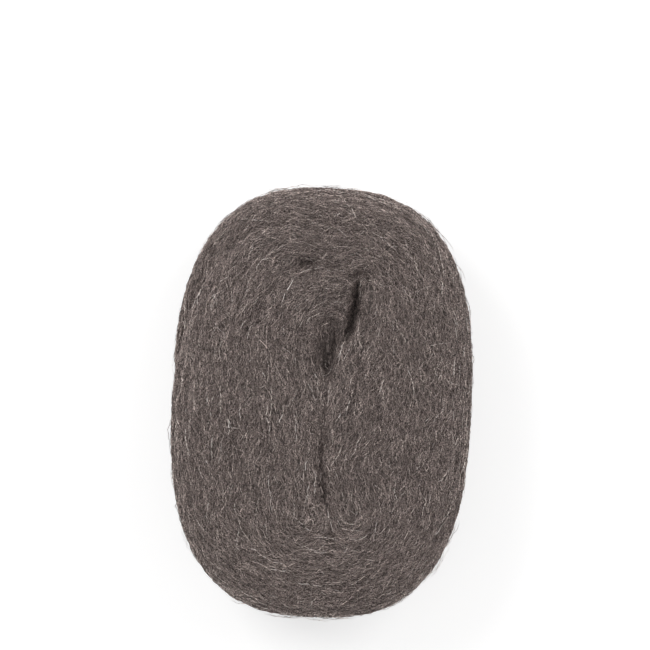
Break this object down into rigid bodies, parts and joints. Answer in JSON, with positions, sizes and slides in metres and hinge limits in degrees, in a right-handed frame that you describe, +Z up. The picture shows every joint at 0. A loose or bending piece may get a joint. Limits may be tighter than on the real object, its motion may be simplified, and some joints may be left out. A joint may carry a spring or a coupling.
{
  "type": "steel wool bundle",
  "caption": "Long strand of fine steel wool wound flat into an oval roll, lying on its side, for rubbing down wood, metal and lacquer.",
  "frame": {"origin": "under the middle of the roll, on the surface that it lies on", "axes": "+X across the roll, +Y along it, +Z up, along the width of the strand and through the winding"},
  "size_m": [0.1122, 0.1602, 0.0612],
  "materials": {
    "steel_wool": "matt mass of fine bright steel fibres, dark between them"
  },
  "bodies": {
    "root": {"wool_roll": "steel_wool"}
  },
  "joints": []
}
